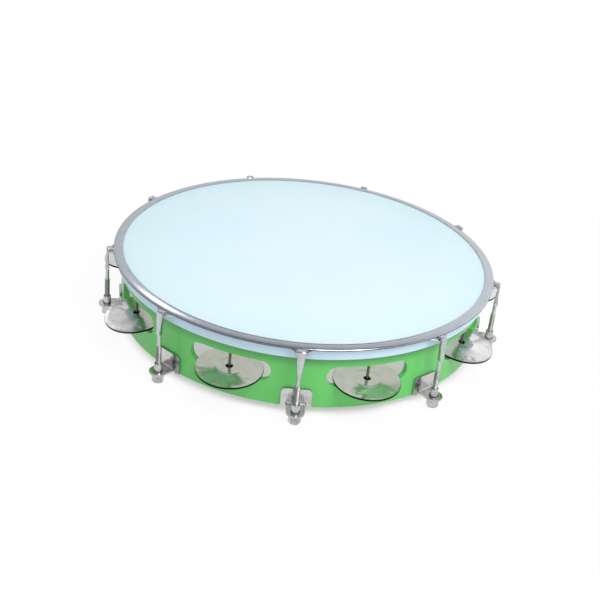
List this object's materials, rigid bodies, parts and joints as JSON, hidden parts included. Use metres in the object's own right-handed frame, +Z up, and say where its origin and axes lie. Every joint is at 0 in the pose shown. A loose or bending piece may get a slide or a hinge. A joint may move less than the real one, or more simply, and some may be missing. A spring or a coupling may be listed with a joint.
{
  "type": "dafli",
  "caption": "Tunable frame drum: film head under a chromed rim, hook bolts and sleeve nuts on brackets, and loose jingle discs on pins in slots round a green shell.",
  "frame": {"origin": "on the drum's axis, level with the lower ends of the nine tension nuts that it stands on", "axes": "+Z up along the drum's axis, from the open side to the head; -Y towards hook bolt 1; numbers go anticlockwise seen from above"},
  "size_m": [0.3309, 0.3307, 0.0604],
  "materials": {
    "shell": "gloss green",
    "film": "pale satin film",
    "rim_chrome": "plated, lightly scuffed",
    "hook_chrome": "plated, satin",
    "bracket_chrome": "plated, bright",
    "nut_chrome": "plated, bright",
    "jingle_nickel": "polished nickel",
    "steel": "plain drawn steel"
  },
  "bodies": {
    "drum": {"shell": "shell", "flesh_hoop": "steel", "head": "film", "rim": "rim_chrome", "bracket_1": "bracket_chrome", "hook_bolt_1": "hook_chrome", "jingle_pin_1": "steel", "bracket_2": "bracket_chrome", "hook_bolt_2": "hook_chrome", "jingle_pin_2": "steel", "bracket_3": "bracket_chrome", "hook_bolt_3": "hook_chrome", "jingle_pin_3": "steel", "bracket_4": "bracket_chrome", "hook_bolt_4": "hook_chrome", "jingle_pin_4": "steel", "bracket_5": "bracket_chrome", "hook_bolt_5": "hook_chrome", "jingle_pin_5": "steel", "bracket_6": "bracket_chrome", "hook_bolt_6": "hook_chrome", "jingle_pin_6": "steel", "bracket_7": "bracket_chrome", "hook_bolt_7": "hook_chrome", "jingle_pin_7": "steel", "bracket_8": "bracket_chrome", "hook_bolt_8": "hook_chrome", "jingle_pin_8": "steel", "bracket_9": "bracket_chrome", "hook_bolt_9": "hook_chrome", "jingle_pin_9": "steel"},
    "nut_1": {"tension_nut_1": "nut_chrome"},
    "lower_jingle_1": {"jingle_lower_1": "jingle_nickel"},
    "upper_jingle_1": {"jingle_upper_1": "jingle_nickel"},
    "nut_2": {"tension_nut_2": "nut_chrome"},
    "lower_jingle_2": {"jingle_lower_2": "jingle_nickel"},
    "upper_jingle_2": {"jingle_upper_2": "jingle_nickel"},
    "nut_3": {"tension_nut_3": "nut_chrome"},
    "lower_jingle_3": {"jingle_lower_3": "jingle_nickel"},
    "upper_jingle_3": {"jingle_upper_3": "jingle_nickel"},
    "nut_4": {"tension_nut_4": "nut_chrome"},
    "lower_jingle_4": {"jingle_lower_4": "jingle_nickel"},
    "upper_jingle_4": {"jingle_upper_4": "jingle_nickel"},
    "nut_5": {"tension_nut_5": "nut_chrome"},
    "lower_jingle_5": {"jingle_lower_5": "jingle_nickel"},
    "upper_jingle_5": {"jingle_upper_5": "jingle_nickel"},
    "nut_6": {"tension_nut_6": "nut_chrome"},
    "lower_jingle_6": {"jingle_lower_6": "jingle_nickel"},
    "upper_jingle_6": {"jingle_upper_6": "jingle_nickel"},
    "nut_7": {"tension_nut_7": "nut_chrome"},
    "lower_jingle_7": {"jingle_lower_7": "jingle_nickel"},
    "upper_jingle_7": {"jingle_upper_7": "jingle_nickel"},
    "nut_8": {"tension_nut_8": "nut_chrome"},
    "lower_jingle_8": {"jingle_lower_8": "jingle_nickel"},
    "upper_jingle_8": {"jingle_upper_8": "jingle_nickel"},
    "nut_9": {"tension_nut_9": "nut_chrome"},
    "lower_jingle_9": {"jingle_lower_9": "jingle_nickel"},
    "upper_jingle_9": {"jingle_upper_9": "jingle_nickel"}
  },
  "joints": [
    {"name": "nut_1_turn", "type": "hinge", "parent": "drum", "child": "nut_1", "pos_m": [0, -0.1568, 0.005], "axis": [0, 0, 1], "continuous": true},
    {"name": "jingle_1_spin", "type": "hinge", "parent": "drum", "child": "lower_jingle_1", "pos_m": [0.04898, -0.13456, 0.02553], "axis": [0.006, -0.0164, 0.9998], "continuous": true},
    {"name": "jingle_1_lift", "type": "slide", "parent": "lower_jingle_1", "child": "upper_jingle_1", "axis": [0.006, -0.0164, 0.9998], "range_m": [0, 0.0095]},
    {"name": "nut_2_turn", "type": "hinge", "parent": "drum", "child": "nut_2", "pos_m": [0.10079, -0.12012, 0.005], "axis": [0, 0, 1], "continuous": true},
    {"name": "jingle_2_spin", "type": "hinge", "parent": "drum", "child": "lower_jingle_2", "pos_m": [0.12402, -0.0716, 0.02581], "axis": [0.1055, -0.0609, 0.9925], "continuous": true},
    {"name": "jingle_2_lift", "type": "slide", "parent": "lower_jingle_2", "child": "upper_jingle_2", "axis": [0.1055, -0.0609, 0.9925], "range_m": [0, 0.0095]},
    {"name": "nut_3_turn", "type": "hinge", "parent": "drum", "child": "nut_3", "pos_m": [0.15442, -0.02723, 0.005], "axis": [0, 0, 1], "continuous": true},
    {"name": "jingle_3_spin", "type": "hinge", "parent": "drum", "child": "lower_jingle_3", "pos_m": [0.14102, 0.02487, 0.02576], "axis": [0.1029, 0.0182, 0.9945], "continuous": true},
    {"name": "jingle_3_lift", "type": "slide", "parent": "lower_jingle_3", "child": "upper_jingle_3", "axis": [0.1029, 0.0182, 0.9945], "range_m": [0, 0.0095]},
    {"name": "nut_4_turn", "type": "hinge", "parent": "drum", "child": "nut_4", "pos_m": [0.13579, 0.0784, 0.005], "axis": [0, 0, 1], "continuous": true},
    {"name": "jingle_4_spin", "type": "hinge", "parent": "drum", "child": "lower_jingle_4", "pos_m": [0.09205, 0.1097, 0.02562], "axis": [0.0336, 0.0401, 0.9986], "continuous": true},
    {"name": "jingle_4_lift", "type": "slide", "parent": "lower_jingle_4", "child": "upper_jingle_4", "axis": [0.0336, 0.0401, 0.9986], "range_m": [0, 0.0095]},
    {"name": "nut_5_turn", "type": "hinge", "parent": "drum", "child": "nut_5", "pos_m": [0.05363, 0.14734, 0.005], "axis": [0, 0, 1], "continuous": true},
    {"name": "jingle_5_spin", "type": "hinge", "parent": "drum", "child": "lower_jingle_5", "pos_m": [0, 0.1432, 0.02585], "axis": [0, 0.1392, 0.9903], "continuous": true},
    {"name": "jingle_5_lift", "type": "slide", "parent": "lower_jingle_5", "child": "upper_jingle_5", "axis": [0, 0.1392, 0.9903], "range_m": [0, 0.0095]},
    {"name": "nut_6_turn", "type": "hinge", "parent": "drum", "child": "nut_6", "pos_m": [-0.05363, 0.14734, 0.005], "axis": [0, 0, 1], "continuous": true},
    {"name": "jingle_6_spin", "type": "hinge", "parent": "drum", "child": "lower_jingle_6", "pos_m": [-0.09205, 0.1097, 0.02567], "axis": [-0.0448, 0.0534, 0.9976], "continuous": true},
    {"name": "jingle_6_lift", "type": "slide", "parent": "lower_jingle_6", "child": "upper_jingle_6", "axis": [-0.0448, 0.0534, 0.9976], "range_m": [0, 0.0095]},
    {"name": "nut_7_turn", "type": "hinge", "parent": "drum", "child": "nut_7", "pos_m": [-0.13579, 0.0784, 0.005], "axis": [0, 0, 1], "continuous": true},
    {"name": "jingle_7_spin", "type": "hinge", "parent": "drum", "child": "lower_jingle_7", "pos_m": [-0.14102, 0.02487, 0.02581], "axis": [-0.12, 0.0212, 0.9925], "continuous": true},
    {"name": "jingle_7_lift", "type": "slide", "parent": "lower_jingle_7", "child": "upper_jingle_7", "axis": [-0.12, 0.0212, 0.9925], "range_m": [0, 0.0095]},
    {"name": "nut_8_turn", "type": "hinge", "parent": "drum", "child": "nut_8", "pos_m": [-0.15442, -0.02723, 0.005], "axis": [0, 0, 1], "continuous": true},
    {"name": "jingle_8_spin", "type": "hinge", "parent": "drum", "child": "lower_jingle_8", "pos_m": [-0.12402, -0.0716, 0.026], "axis": [-0.1652, -0.0954, 0.9816], "continuous": true},
    {"name": "jingle_8_lift", "type": "slide", "parent": "lower_jingle_8", "child": "upper_jingle_8", "axis": [-0.1652, -0.0954, 0.9816], "range_m": [0, 0.0065]},
    {"name": "nut_9_turn", "type": "hinge", "parent": "drum", "child": "nut_9", "pos_m": [-0.10079, -0.12012, 0.005], "axis": [0, 0, 1], "continuous": true},
    {"name": "jingle_9_spin", "type": "hinge", "parent": "drum", "child": "lower_jingle_9", "pos_m": [-0.04898, -0.13456, 0.02571], "axis": [-0.0298, -0.0819, 0.9962], "continuous": true},
    {"name": "jingle_9_lift", "type": "slide", "parent": "lower_jingle_9", "child": "upper_jingle_9", "axis": [-0.0298, -0.0819, 0.9962], "range_m": [0, 0.0095]}
  ]
}
